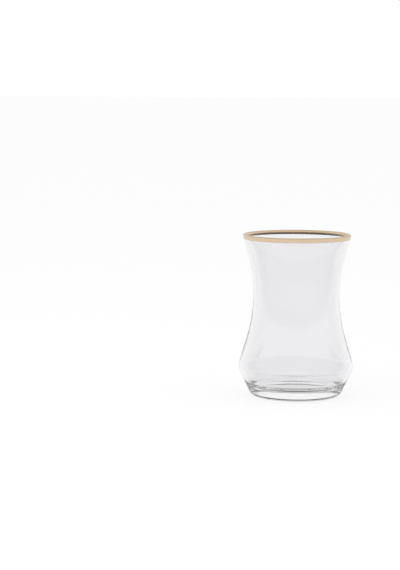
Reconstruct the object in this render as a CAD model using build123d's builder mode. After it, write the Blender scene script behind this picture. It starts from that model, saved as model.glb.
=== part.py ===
"""Waisted tea glass with a gold band fired on to its lip.

The origin is the centre of the underside and +Z runs up the axis. Both pieces are turned about
that axis from half sections, drawn with X as the radius and Y as the height.
"""

from build123d import *
from math import acos, atan2, degrees, hypot
import os

# Driving dimensions, in millimetres. Outside radii and heights are those of the sharp corners.
glass_height = 88.0
rim_radius = 29.4
waist_radius = 23.4
waist_height = 54.4
belly_radius = 31.5
belly_height = 15.9
foot_radius = 24.0

# How far the waist's curve runs: 1 is one long arc from the waist to the rim or the belly, and less
# is a tighter arc that ends sooner and runs on straight.
upper_curve = 0.93
lower_curve = 0.8

# Walls, measured across from the outside corner to the inside one.
lip_wall = 1.2
waist_wall = 1.1
belly_wall = 1.8
cone_wall = 1.9
base_thickness = 5.6

# Roundings of the corners.
belly_rounding = 4.0
foot_rounding = 4.5
inner_belly_rounding = 2.6
floor_rounding = 6.0

# The underside is hollowed a little, so that the glass stands on a ring, as wide as this up to the
# sharp corner of the foot.
foot_ring = 6.0
hollow_depth = 0.7

# The gold is a thin film that wraps over the lip.
gold_film = 0.1
gold_drop_outside = 2.5
gold_drop_inside = 1.3


def side(belly, waist, rim):
    """One face of the wall, from its waist down to the belly and up to the rim, smooth all the way."""
    for end, curve, way in ((belly, lower_curve, -1), (rim, upper_curve, 1)):
        reach, rise = end[0] - waist[0], abs(end[1] - waist[1])
        arc_radius = curve * (reach**2 + rise**2) / (2 * reach)
        centre_to_end = hypot(rise, arc_radius - reach)
        turn = atan2(rise, arc_radius - reach) - acos(arc_radius / centre_to_end)
        arc = JernArc(waist, (0, way), arc_radius, -way * degrees(turn))
        Line(arc @ 1, end)


# Corners of the outside, from the table up.
foot = (foot_radius, 0)
belly = (belly_radius, belly_height)
waist = (waist_radius, waist_height)
rim = (rim_radius, glass_height)

# The same corners on the inside. The floor meets the cone that stands between the foot and the belly.
cone_radius = foot_radius + (belly_radius - foot_radius) * base_thickness / belly_height
inner_floor = (cone_radius - cone_wall, base_thickness)
inner_belly = (belly_radius - belly_wall, belly_height)
inner_waist = (waist_radius - waist_wall, waist_height)
inner_rim = (rim_radius - lip_wall, glass_height)

hollow_edge = (foot_radius - foot_ring, 0)

rounded_corners = (
    (foot, foot_rounding),
    (belly, belly_rounding),
    (inner_floor, floor_rounding),
    (inner_belly, inner_belly_rounding),
    (rim, 0.45 * lip_wall),
    (inner_rim, 0.45 * lip_wall),
)

with BuildPart() as glass_body:
    with BuildSketch(Plane.XZ) as glass_section:
        with BuildLine():
            TangentArc((0, hollow_depth), hollow_edge, tangent=(1, 0))
            Polyline(hollow_edge, foot, belly)
            side(belly, waist, rim)
            Line(rim, inner_rim)
            side(inner_belly, inner_waist, inner_rim)
            Polyline(inner_belly, inner_floor, (0, base_thickness), (0, hollow_depth))
        make_face()
        for corner, rounding in rounded_corners:
            fillet(glass_section.vertices().sort_by_distance((*corner, 0))[0], rounding)
    revolve(axis=Axis.Z)
glass_body.part.label = "glass_body"

# The film follows the lip: the glass outline grown by the film, less the glass, above the two drops.
with BuildPart() as gold_rim:
    with BuildSketch(Plane.XZ) as film_section:
        add(glass_section.sketch_local)
        offset(amount=gold_film)
        add(glass_section.sketch_local, mode=Mode.SUBTRACT)
        with BuildLine():
            outside = rim_radius + lip_wall
            inside = rim_radius - 2 * lip_wall
            between = rim_radius - lip_wall / 2
            above = glass_height + lip_wall
            Polyline(
                (outside, glass_height - gold_drop_outside),
                (outside, above),
                (inside, above),
                (inside, glass_height - gold_drop_inside),
                (between, glass_height - gold_drop_inside),
                (between, glass_height - gold_drop_outside),
                close=True,
            )
        make_face(mode=Mode.INTERSECT)
    revolve(axis=Axis.Z)
gold_rim.part.label = "gold_rim"

os.makedirs("parts", exist_ok=True)
export_step(glass_body.part, "parts/glass_body.step")
export_step(gold_rim.part, "parts/gold_rim.step")

density = 0.0025
print(f"glass {glass_body.part.volume:.0f} mm3, {glass_body.part.volume * density:.0f} g")
print(f"gold film {gold_rim.part.volume:.1f} mm3")
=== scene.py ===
# %% [markdown]
# # A waisted tea glass with a gold lip
# The real thing is a small drinking glass: a thick base, a low belly with an angle in it, a narrow
# waist to hold it by, and a flared lip that carries a thin band of fired-on gold.
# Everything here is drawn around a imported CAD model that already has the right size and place, in
# metres. So the first step is to load that frame and keep its box, and nothing is fitted afterwards.

# %% Load the frame
import bpy
from math import acos, atan2, ceil, cos, hypot, pi, radians, sin, tan
from mathutils import Matrix, Vector


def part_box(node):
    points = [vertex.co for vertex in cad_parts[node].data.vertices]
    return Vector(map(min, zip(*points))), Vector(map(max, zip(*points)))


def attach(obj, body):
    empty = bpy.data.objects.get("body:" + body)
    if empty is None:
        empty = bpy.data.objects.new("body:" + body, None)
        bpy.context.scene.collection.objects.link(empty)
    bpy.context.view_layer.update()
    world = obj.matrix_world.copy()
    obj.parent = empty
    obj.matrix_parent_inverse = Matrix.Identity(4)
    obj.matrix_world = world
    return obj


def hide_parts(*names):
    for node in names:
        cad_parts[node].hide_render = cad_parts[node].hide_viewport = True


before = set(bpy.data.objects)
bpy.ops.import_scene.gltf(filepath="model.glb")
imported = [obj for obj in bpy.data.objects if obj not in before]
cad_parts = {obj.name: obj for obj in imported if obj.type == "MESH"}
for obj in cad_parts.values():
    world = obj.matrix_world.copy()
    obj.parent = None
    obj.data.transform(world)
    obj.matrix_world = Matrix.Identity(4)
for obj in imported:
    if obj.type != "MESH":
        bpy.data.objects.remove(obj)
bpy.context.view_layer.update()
MM = 0.001
lowest, highest = (Vector(corner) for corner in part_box("glass_body"))
height = highest.z - lowest.z
print("the glass stands", round(height / MM, 1), "mm high")

# %% [markdown]
# ## The camera
# A small glass looks best from far away through a long lens, because that keeps the lip and the
# foot nearly level and the sides upright. The camera looks down by a few degrees, just
# enough to open the lip into a thin ellipse. It could be aimed with a constraint, but one turn
# matrix is easier to read: the camera is turned first, then moved back along its own axis, so the
# glass can sit off the middle of the picture without a lens shift.

# %% Camera
LENS = 129.5
DISTANCE = 1.113
ELEVATION = radians(6.16)
ROLL = radians(0.33)
RIGHT_OF_MIDDLE = 0.0522
BELOW_MIDDLE = 0.0163


def make_camera():
    """A long lens that looks a little down on the middle of the glass."""
    data = bpy.data.cameras.new("camera")
    data.lens = LENS
    data.clip_start = 0.05
    camera = bpy.data.objects.new("camera", data)
    bpy.context.scene.collection.objects.link(camera)
    turn = Matrix.Rotation(pi / 2 - ELEVATION, 4, "X") @ Matrix.Rotation(ROLL, 4, "Z")
    back_off = turn @ Vector((-RIGHT_OF_MIDDLE, BELOW_MIDDLE, DISTANCE))
    camera.matrix_world = Matrix.Translation(Vector((0, 0, height / 2)) + back_off) @ turn
    bpy.context.scene.camera = camera
    return camera


camera = make_camera()
print("camera at", [round(v, 3) for v in camera.location])

# %% [markdown]
# ## The outline of the glass
# A glass like this is blown or pressed and is round all the way, so its whole shape is one outline
# turned about the upright axis. The outline is straight lines joined by arcs. A bezier curve
# dragged by eye would also do, but the corners of a glass are true roundings, and the light that
# passes through them shows every bump. So the outline is worked out from a few corners and radii.
# The first helper rounds one corner.

# %% Round a corner
ARC_STEPS = 14


def rounded(before, corner, after, radius, steps=ARC_STEPS):
    """The arc that rounds a corner, as points from the side of `before` to the side of `after`."""
    to_before = (Vector(before) - Vector(corner)).normalized()
    to_after = (Vector(after) - Vector(corner)).normalized()
    half = acos(max(-1, min(1, to_before.dot(to_after)))) / 2
    centre = Vector(corner) + (to_before + to_after).normalized() * radius / sin(half)
    start = Vector(corner) + to_before * radius / tan(half) - centre
    end = Vector(corner) + to_after * radius / tan(half) - centre
    sweep = pi - 2 * half
    shares = [step / steps for step in range(steps + 1)]
    return [centre + (start * sin((1 - t) * sweep) + end * sin(t * sweep)) / sin(sweep) for t in shares]


corner_arc = rounded((1, 0), (0, 0), (0, 1), 0.5)
print("a square corner of radius 0.5 becomes", len(corner_arc), "points")

# %% [markdown]
# The waist is the long curve between the belly and the lip. On the real glass it is nearly one
# circle each way from the narrowest place, running on straight at its ends. The second helper makes
# one half of it. Its `curve` says how much of the stretch is bent: 1 is one arc all the way.

# %% Curve the waist
WAIST_STEPS = 40


def waist_arc(waist, end, curve, way, steps=WAIST_STEPS):
    """Points of the long arc that leaves the waist and can run on straight to `end`."""
    reach, rise = end[0] - waist[0], abs(end[1] - waist[1])
    radius = curve * (reach**2 + rise**2) / (2 * reach)
    turn = atan2(rise, radius - reach) - acos(radius / hypot(rise, radius - reach))
    angles = [turn * step / steps for step in range(steps + 1)]
    return [Vector((waist[0] + radius * (1 - cos(a)), waist[1] + way * radius * sin(a))) for a in angles]


def side(foot, belly, waist, rim, foot_rounding, belly_rounding):
    """One face of the wall, from the bottom up to the lip."""
    down = waist_arc(waist, belly, LOWER_CURVE, -1)
    up = waist_arc(waist, rim, UPPER_CURVE, 1)
    bottom = rounded((0, foot[1]), foot, belly, foot_rounding)
    angle = rounded(foot, belly, down[-1], belly_rounding)
    return bottom + angle + down[::-1] + up[1:]


# %% [markdown]
# Now the sizes, in millimetres. They are the same ones that the CAD model is made from, so this
# outline and that solid are one shape. The wall is a little over a millimetre at the waist and the
# lip, thicker at the belly, and the base is a solid slab, which is what gives a tea glass its weight.

# %% Sizes of the glass
TOP = height / MM
RIM_RADIUS = 29.4
WAIST_RADIUS, WAIST_HEIGHT = 23.4, 54.4
BELLY_RADIUS, BELLY_HEIGHT = 31.5, 15.9
FOOT_RADIUS = 24.0
UPPER_CURVE, LOWER_CURVE = 0.93, 0.8
LIP_WALL, WAIST_WALL, BELLY_WALL, CONE_WALL = 1.2, 1.1, 1.8, 1.9
BASE_THICKNESS = 5.6
BELLY_ROUNDING, FOOT_ROUNDING = 4.0, 4.5
INNER_BELLY_ROUNDING, FLOOR_ROUNDING = 2.6, 6.0
LIP_ROUNDING = 0.45 * LIP_WALL
FOOT_RING, HOLLOW_DEPTH = 6.0, 0.7
HOLLOW_RADIUS = FOOT_RADIUS - FOOT_RING

cone_radius = FOOT_RADIUS + (BELLY_RADIUS - FOOT_RADIUS) * BASE_THICKNESS / BELLY_HEIGHT
rim, inner_rim = (RIM_RADIUS, TOP), (RIM_RADIUS - LIP_WALL, TOP)
outside = side(
    (FOOT_RADIUS, 0), (BELLY_RADIUS, BELLY_HEIGHT), (WAIST_RADIUS, WAIST_HEIGHT), rim,
    FOOT_ROUNDING, BELLY_ROUNDING,
)
inside = side(
    (cone_radius - CONE_WALL, BASE_THICKNESS), (BELLY_RADIUS - BELLY_WALL, BELLY_HEIGHT),
    (WAIST_RADIUS - WAIST_WALL, WAIST_HEIGHT), inner_rim,
    FLOOR_ROUNDING, INNER_BELLY_ROUNDING,
)
lip = rounded(outside[-1], rim, inner_rim, LIP_ROUNDING)
lip += rounded(rim, inner_rim, inside[-1], LIP_ROUNDING)
print("outside has", len(outside), "points and inside", len(inside))

# %% [markdown]
# The underside isn't flat. It is hollowed by a fraction of a millimetre, so that the glass stands on
# a ring and doesn't rock. The hollow is a very shallow arc of a big circle.

# %% Hollow under the base
HOLLOW_STEPS = 12


def shallow_hollow(radius, depth, steps=HOLLOW_STEPS):
    """The arc of the hollow, from the axis out to the ring."""
    arc_radius = (radius**2 + depth**2) / (2 * depth)
    reaches = [radius * step / steps for step in range(steps + 1)]
    return [Vector((reach, depth - arc_radius + (arc_radius**2 - reach**2) ** 0.5)) for reach in reaches]


hollow = shallow_hollow(HOLLOW_RADIUS, HOLLOW_DEPTH)
print("the hollow's arc is", round((HOLLOW_RADIUS**2 + HOLLOW_DEPTH**2) / (2 * HOLLOW_DEPTH)), "mm in radius")

# %% [markdown]
# Long straight runs get extra points, so that no face is long and thin. Smooth shading spreads the
# normals between points, and evenly spaced ones keep the reflections in the wall calm.

# %% Even out the points
LONGEST = 1.2


def spread(points, longest=LONGEST):
    """The same line with extra points, so that no stretch is longer than `longest`."""
    out = [points[0]]
    for point in points[1:]:
        start = out[-1]
        parts = max(1, ceil((point - start).length / longest))
        out += [start.lerp(point, n / parts) for n in range(1, parts + 1)]
    return out


glass_outline = spread([*hollow, *outside, *lip, *inside[::-1], Vector((0, BASE_THICKNESS))])
print("the glass outline has", len(glass_outline), "points")

# %% [markdown]
# ## Turning the outline
# Blender has a Screw modifier and a spin tool that turn an outline. Here the rings are written
# straight into a mesh: each outline point becomes a ring of vertices, neighbouring rings are joined
# by quads, and a point on the axis is one vertex where triangles meet. That gives full control of
# the number of steps, and a clear glass needs many, because its edge is a lens.

# %% Turn an outline into a mesh
STEPS_ROUND = 256
ON_AXIS = 1e-6


def turned(name, outline, closed=False, steps=STEPS_ROUND):
    """A mesh turned about the Z axis from points of radius and height in millimetres."""
    verts, rings, faces = [], [], []
    angles = [2 * pi * n / steps for n in range(steps)]
    for radius, up in outline:
        if radius < ON_AXIS:
            rings.append([len(verts)] * steps)
            verts.append((0, 0, up * MM))
        else:
            rings.append(range(len(verts), len(verts) + steps))
            verts += [(radius * MM * cos(a), radius * MM * sin(a), up * MM) for a in angles]
    pairs = list(zip(rings, rings[1:]))
    if closed:
        pairs.append((rings[-1], rings[0]))
    for lower, upper in pairs:
        for n in range(steps):
            after = (n + 1) % steps
            corners = [lower[n], lower[after], upper[after], upper[n]]
            faces.append(list(dict.fromkeys(corners)))
    mesh = bpy.data.meshes.new(name)
    mesh.from_pydata(verts, [], faces)
    mesh.validate()
    mesh.shade_smooth()
    piece = bpy.data.objects.new(name, mesh)
    bpy.context.scene.collection.objects.link(piece)
    return piece


glass = turned("clear_glass", glass_outline)
print(glass.name, "has", len(glass.data.polygons), "faces")

# %% [markdown]
# ## The gold band
# The gold is a liquid brushed on to the lip while the glass turns on a wheel, then fired. It wraps
# over the edge, a bit further down the outside than the inside. A painted mask on the glass could
# show it, but gold is metal and glass is not, and one surface that is both looks wrong at the seam.
# So the band is a thin film of its own. It follows the outline of the lip, grown outwards by the
# film, and its underside is sunk a hair into the glass, so that no air gap shows between the two.

# %% Film over the lip
GOLD_FILM = 0.1
GOLD_DROP_OUTSIDE, GOLD_DROP_INSIDE = 2.5, 1.3
SUNK = 0.02


def grown(points, amount):
    """The line moved sideways by `amount`, away from the glass."""
    out = []
    for n, point in enumerate(points):
        along = points[min(n + 1, len(points) - 1)] - points[max(n - 1, 0)]
        out.append(point + Vector((along.y, -along.x)).normalized() * amount)
    return out


over_the_lip = spread(outside + lip + inside[::-1], LONGEST / 4)
first = next(n for n, point in enumerate(over_the_lip) if point.y > TOP - GOLD_DROP_OUTSIDE)
last = max(n for n, point in enumerate(over_the_lip) if point.y > TOP - GOLD_DROP_INSIDE)
band = over_the_lip[first:last + 1]
gold = turned("gold_band", grown(band, GOLD_FILM) + grown(band, -SUNK)[::-1], closed=True)
print(gold.name, "has", len(gold.data.polygons), "faces")

# %% [markdown]
# Both pieces ride on the one body of the glass and stand for their CAD nodes.

# %% Tie the pieces to the frame
for piece, cad_node, slot in ((glass, "glass_body", "clear_glass"), (gold, "gold_rim", "gold_band")):
    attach(piece, "root")
    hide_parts(cad_node)
    print(piece.name, "stands for", cad_node)

# %% [markdown]
# ## Shared surface detail
# No fired or blown surface is perfect. Glass has long soft waves left by the mould and the flame,
# and brushed gold has faint rings where the brush ran round. Both are the same kind of effect: a
# noise stretched along one direction, used as a gentle height and as a small change of tone. It is
# built once as a node group with named sockets, and each material sets its own scale and stretch.

# %% Node helpers
def node(tree, kind, **settings):
    """A new node with its properties set by name."""
    made = tree.nodes.new(kind)
    for key, value in settings.items():
        setattr(made, key, value)
    return made


def set_inputs(target, **values):
    """Set unlinked sockets by name, with underscores for spaces."""
    for key, value in values.items():
        target.inputs[key.replace("_", " ")].default_value = value


def new_material(name):
    """An empty node material, with its Principled shader and output."""
    material = bpy.data.materials.new(name)
    material.use_nodes = True
    tree = material.node_tree
    return material, tree, tree.nodes["Principled BSDF"], tree.nodes["Material Output"]


def outputs_of(group):
    """The names of what a node group gives out."""
    return [item.name for item in group.interface.items_tree if item.in_out == "OUTPUT"]


print("node helpers:", node.__name__, set_inputs.__name__, new_material.__name__)

# %% Soft waves group
def make_soft_waves():
    """Noise stretched by a vector, given out as a height and as a tone around 1."""
    tree = bpy.data.node_groups.new("soft_waves", "ShaderNodeTree")
    for name, kind in (("Stretch", "NodeSocketVector"), ("Detail", "NodeSocketFloat"),
                       ("Tone Change", "NodeSocketFloat")):
        tree.interface.new_socket(name, in_out="INPUT", socket_type=kind)
    for name in ("Height", "Tone"):
        tree.interface.new_socket(name, in_out="OUTPUT", socket_type="NodeSocketFloat")
    into, out = node(tree, "NodeGroupInput"), node(tree, "NodeGroupOutput")
    place = node(tree, "ShaderNodeTexCoord")
    stretched = node(tree, "ShaderNodeVectorMath", operation="MULTIPLY")
    noise = node(tree, "ShaderNodeTexNoise")
    set_inputs(noise, Scale=1.0, Roughness=0.5)
    centred = node(tree, "ShaderNodeMath", operation="SUBTRACT")
    centred.inputs[1].default_value = 0.5
    tone = node(tree, "ShaderNodeMath", operation="MULTIPLY_ADD")
    tone.inputs[2].default_value = 1.0
    link = tree.links.new
    link(place.outputs["Object"], stretched.inputs[0])
    link(into.outputs["Stretch"], stretched.inputs[1])
    link(stretched.outputs[0], noise.inputs["Vector"])
    link(into.outputs["Detail"], noise.inputs["Detail"])
    link(noise.outputs["Fac"], centred.inputs[0])
    link(centred.outputs[0], tone.inputs[0])
    link(into.outputs["Tone Change"], tone.inputs[1])
    link(noise.outputs["Fac"], out.inputs["Height"])
    link(tone.outputs[0], out.inputs["Tone"])
    return tree


def add_waves(tree, stretch, detail, tone_change):
    """Place the soft waves in a material, with that material's own values."""
    waves = node(tree, "ShaderNodeGroup", node_tree=soft_waves)
    set_inputs(waves, Stretch=stretch, Detail=detail, Tone_Change=tone_change)
    return waves


def toned(tree, waves, colour):
    """A colour multiplied by the tone of the waves."""
    scaled = node(tree, "ShaderNodeVectorMath", operation="SCALE")
    scaled.inputs[0].default_value = colour
    tree.links.new(waves.outputs["Tone"], scaled.inputs["Scale"])
    return scaled.outputs[0]


def relief(tree, waves, distance, strength):
    """A bump made from the height of the waves."""
    bump = node(tree, "ShaderNodeBump")
    set_inputs(bump, Strength=strength, Distance=distance)
    tree.links.new(waves.outputs["Height"], bump.inputs["Height"])
    return bump.outputs["Normal"]


soft_waves = make_soft_waves()
print("soft_waves gives", outputs_of(soft_waves))

# %% [markdown]
# ## Clear glass
# Soda-lime glass is nearly colourless and bends light by 1.52. The shader is a Principled BSDF that
# transmits everything, with a base colour just under white: four surfaces lie between the eye and
# the backdrop, so each one takes only a little light away, and the body reads as a very pale grey.
# A path tracer can't focus light through glass without a great many samples, so for shadow rays
# alone the glass becomes a plain see-through filter. That keeps the shadow pale and clean.

# %% Clear glass material
GLASS_COLOUR = (0.951, 0.947, 0.957)
GLASS_SHADOW = (0.93, 0.93, 0.94, 1)
GLASS_IOR = 1.52


def clear_glass_material():
    """Pale clear glass with long soft waves."""
    material, tree, shader, output = new_material("clear_glass")
    set_inputs(shader, Transmission_Weight=1.0, Roughness=0.0, IOR=GLASS_IOR)
    waves = add_waves(tree, stretch=(60, 60, 25), detail=1.0, tone_change=0.02)
    tree.links.new(toned(tree, waves, GLASS_COLOUR), shader.inputs["Base Color"])
    tree.links.new(relief(tree, waves, distance=0.00008, strength=0.5), shader.inputs["Normal"])
    filtered = node(tree, "ShaderNodeBsdfTransparent")
    set_inputs(filtered, Color=GLASS_SHADOW)
    ray = node(tree, "ShaderNodeLightPath")
    either = node(tree, "ShaderNodeMixShader")
    tree.links.new(ray.outputs["Is Shadow Ray"], either.inputs[0])
    tree.links.new(shader.outputs[0], either.inputs[1])
    tree.links.new(filtered.outputs[0], either.inputs[2])
    tree.links.new(either.outputs[0], output.inputs["Surface"])
    return material


glass.data.materials.append(clear_glass_material())
print("glass is", glass.data.materials[0].name)

# %% [markdown]
# ## Fired gold
# Bright gold for glassware is a thin film of real metal, paler than solid gold because it is so
# thin. It is satin, not a mirror: tiny ripples of the glass and the brush spread what it reflects.
# So it is fully metallic, with a middling roughness, a fine ring-wise ripple and a slight change of
# tone round the band.

# %% Fired gold material
GOLD_COLOUR = (0.86, 0.68, 0.48)
GOLD_ROUGHNESS = 0.18


def fired_gold_material():
    """Pale satin gold with faint brush rings."""
    material, tree, shader, output = new_material("fired_gold")
    set_inputs(shader, Metallic=1.0)
    waves = add_waves(tree, stretch=(90, 90, 1400), detail=3.0, tone_change=0.16)
    tree.links.new(toned(tree, waves, GOLD_COLOUR), shader.inputs["Base Color"])
    tree.links.new(relief(tree, waves, distance=0.00004, strength=0.6), shader.inputs["Normal"])
    satin = node(tree, "ShaderNodeMath", operation="MULTIPLY")
    satin.inputs[1].default_value = GOLD_ROUGHNESS
    tree.links.new(waves.outputs["Tone"], satin.inputs[0])
    tree.links.new(satin.outputs[0], shader.inputs["Roughness"])
    return material


gold.data.materials.append(fired_gold_material())
print("the band is", gold.data.materials[0].name)

# %% [markdown]
# ## The light around a glass
# Clear glass has no look of its own: it shows what is around it. In a studio it stands before a
# bright white backdrop, while the sides of the room and the camera's side are darker. Light that
# goes straight through stays bright, and at the edges, where the wall bends the view sideways, the
# darker room draws the outline. That is called bright-field lighting. One node group holds it: from
# a direction, it gives the level seen through the glass and the level mirrored in its surface.
# The bright part stays where it is when the view changes. From the side or from behind, the glass
# shows the darker part of the room and looks grey, and raising SIDE_LEVEL lightens it there.

# %% Studio level group
BRIGHTEST_WAY = (0, 0.8, -0.6)
DARK_AT, BRIGHT_AT = 0.1, 0.6
SIDE_LEVEL = 0.1
MIRROR_FROM, MIRROR_TO = -0.2, 1.0
MIRROR_LOW, MIRROR_HIGH = 0.8, 0.6


def make_studio_level():
    """Brightness of the studio in a direction, for light through the glass and off its surface."""
    tree = bpy.data.node_groups.new("studio_level", "ShaderNodeTree")
    tree.interface.new_socket("Direction", in_out="INPUT", socket_type="NodeSocketVector")
    for name in ("Through", "Mirrored"):
        tree.interface.new_socket(name, in_out="OUTPUT", socket_type="NodeSocketFloat")
    into, out = node(tree, "NodeGroupInput"), node(tree, "NodeGroupOutput")
    unit = node(tree, "ShaderNodeVectorMath", operation="NORMALIZE")
    parts = node(tree, "ShaderNodeSeparateXYZ")
    towards = node(tree, "ShaderNodeVectorMath", operation="DOT_PRODUCT")
    towards.inputs[1].default_value = BRIGHTEST_WAY
    behind = node(tree, "ShaderNodeMapRange", interpolation_type="SMOOTHSTEP")
    for socket, value in enumerate((DARK_AT, BRIGHT_AT, SIDE_LEVEL, 1.0), start=1):
        behind.inputs[socket].default_value = value
    upward = node(tree, "ShaderNodeMapRange", interpolation_type="SMOOTHSTEP")
    for socket, value in enumerate((MIRROR_FROM, MIRROR_TO, MIRROR_LOW, MIRROR_HIGH), start=1):
        upward.inputs[socket].default_value = value
    link = tree.links.new
    link(into.outputs["Direction"], unit.inputs[0])
    link(unit.outputs[0], parts.inputs[0])
    link(unit.outputs[0], towards.inputs[0])
    link(towards.outputs["Value"], behind.inputs["Value"])
    link(parts.outputs["Z"], upward.inputs["Value"])
    link(behind.outputs["Result"], out.inputs["Through"])
    link(upward.outputs["Result"], out.inputs["Mirrored"])
    return tree


studio_level = make_studio_level()
print("studio_level gives", outputs_of(studio_level))

# %% [markdown]
# The level is used twice, on the floor and in the sky, in the same way. A ray straight from the
# camera sees plain white. A mirrored ray is one marked glossy but not as transmission, because rays
# that were bent through glass carry both marks. What is left went through the glass.

# %% Level for each kind of ray
def level_for_rays(tree, direction):
    """White for the camera, and the studio's own levels through glass and in reflections."""
    studio = node(tree, "ShaderNodeGroup", node_tree=studio_level)
    tree.links.new(direction, studio.inputs["Direction"])
    ray = node(tree, "ShaderNodeLightPath")
    mirrored = node(tree, "ShaderNodeMath", operation="SUBTRACT", use_clamp=True)
    tree.links.new(ray.outputs["Is Glossy Ray"], mirrored.inputs[0])
    tree.links.new(ray.outputs["Is Transmission Ray"], mirrored.inputs[1])
    off_glass = node(tree, "ShaderNodeMix", data_type="FLOAT")
    tree.links.new(mirrored.outputs[0], off_glass.inputs["Factor"])
    tree.links.new(studio.outputs["Through"], off_glass.inputs["A"])
    tree.links.new(studio.outputs["Mirrored"], off_glass.inputs["B"])
    seen = node(tree, "ShaderNodeMix", data_type="FLOAT")
    tree.links.new(ray.outputs["Is Camera Ray"], seen.inputs["Factor"])
    tree.links.new(off_glass.outputs["Result"], seen.inputs["A"])
    seen.inputs["B"].default_value = 1.0
    return ray, seen.outputs["Result"]


print("through the glass the studio runs from", SIDE_LEVEL, "to white")

# %% [markdown]
# ## The floor
# A plain pale floor, wide enough to reach the horizon. It is part white paper, which takes the
# shadow, and mostly a plain glow that only camera, mirrored and bent rays see, so the picture's
# ground is white without putting more light on the glass. It lies a tenth of a millimetre under the
# foot, because two surfaces in exactly one place would leave no air between glass and paper.

# %% Floor
FLOOR_SIZE = 20
AIR_GAP = 0.0001
PAPER = (0.85, 0.85, 0.85, 1)
GLOW_SHARE = 0.85


def make_floor():
    """A white floor that keeps the shadow of the glass."""
    bpy.ops.mesh.primitive_plane_add(size=FLOOR_SIZE, location=(0, 0, -AIR_GAP))
    floor = bpy.context.object
    floor.name = "floor"
    material, tree, shader, output = new_material("white_paper")
    set_inputs(shader, Base_Color=PAPER, Roughness=1.0, Specular_IOR_Level=0.0)
    place = node(tree, "ShaderNodeTexCoord")
    from_glass = node(tree, "ShaderNodeVectorMath", operation="SUBTRACT")
    from_glass.inputs[1].default_value = (0, 0, height / 2)
    tree.links.new(place.outputs["Object"], from_glass.inputs[0])
    ray, level = level_for_rays(tree, from_glass.outputs[0])
    glow = node(tree, "ShaderNodeEmission")
    tree.links.new(level, glow.inputs["Strength"])
    scattered = node(tree, "ShaderNodeMath", operation="SUBTRACT", use_clamp=True)
    scattered.inputs[0].default_value = 1.0
    tree.links.new(ray.outputs["Is Diffuse Ray"], scattered.inputs[1])
    share = node(tree, "ShaderNodeMath", operation="MULTIPLY")
    share.inputs[1].default_value = GLOW_SHARE
    tree.links.new(scattered.outputs[0], share.inputs[0])
    both = node(tree, "ShaderNodeMixShader")
    tree.links.new(share.outputs[0], both.inputs[0])
    tree.links.new(shader.outputs[0], both.inputs[1])
    tree.links.new(glow.outputs[0], both.inputs[2])
    tree.links.new(both.outputs[0], output.inputs["Surface"])
    floor.data.materials.append(material)
    return floor


floor = make_floor()
print("floor lies", AIR_GAP / MM, "mm under the foot")

# %% [markdown]
# ## World and lamp
# The world is an even white dome to the paper and does most of the lighting. To rays that met glass
# or gold first it shows the studio's levels. One broad soft lamp, high on the
# left, gives the faint shadow a side. It is hidden from mirrored rays, so that no square of light
# shows in the wall.

# %% World
def make_world():
    """A white dome, with the studio's levels for rays that meet glass or gold first."""
    world = bpy.data.worlds.new("studio")
    bpy.context.scene.world = world
    world.use_nodes = True
    tree = world.node_tree
    backdrop = tree.nodes["Background"]
    set_inputs(backdrop, Color=(1, 1, 1, 1))
    place = node(tree, "ShaderNodeTexCoord")
    ray, level = level_for_rays(tree, place.outputs["Generated"])
    lit = node(tree, "ShaderNodeMix", data_type="FLOAT")
    tree.links.new(ray.outputs["Is Diffuse Ray"], lit.inputs["Factor"])
    tree.links.new(level, lit.inputs["A"])
    lit.inputs["B"].default_value = 1.0
    tree.links.new(lit.outputs["Result"], backdrop.inputs["Strength"])
    return world


world = make_world()
print("world is", world.name)

# %% Lamp
LAMP_PLACE = (-0.5, -0.6, 0.9)
LAMP_SIDE = 0.5
LAMP_POWER = 4


def make_lamp():
    """A broad soft lamp aimed at the middle of the glass."""
    data = bpy.data.lights.new("soft_lamp", "AREA")
    data.size = LAMP_SIDE
    data.energy = LAMP_POWER
    lamp = bpy.data.objects.new("soft_lamp", data)
    bpy.context.scene.collection.objects.link(lamp)
    lamp.location = LAMP_PLACE
    aim = Vector((0, 0, height / 2)) - Vector(LAMP_PLACE)
    lamp.rotation_euler = aim.to_track_quat("-Z", "Y").to_euler()
    lamp.visible_glossy = False
    lamp.visible_transmission = False
    return lamp


lamp = make_lamp()
print("lamp is", round(Vector(LAMP_PLACE).length, 2), "m away")

# %% [markdown]
# ## Finish
# A ray can bounce many times inside a thick base before it comes out, by mirroring off its faces
# from within. Blender counts those as glossy bounces, and where they run out the glass turns grey.
# So all three limits are high.

# %% View and bounces
BOUNCES = 32
scene = bpy.context.scene
scene.view_settings.view_transform = "Standard"
scene.cycles.max_bounces = BOUNCES
scene.cycles.transmission_bounces = BOUNCES
scene.cycles.glossy_bounces = BOUNCES
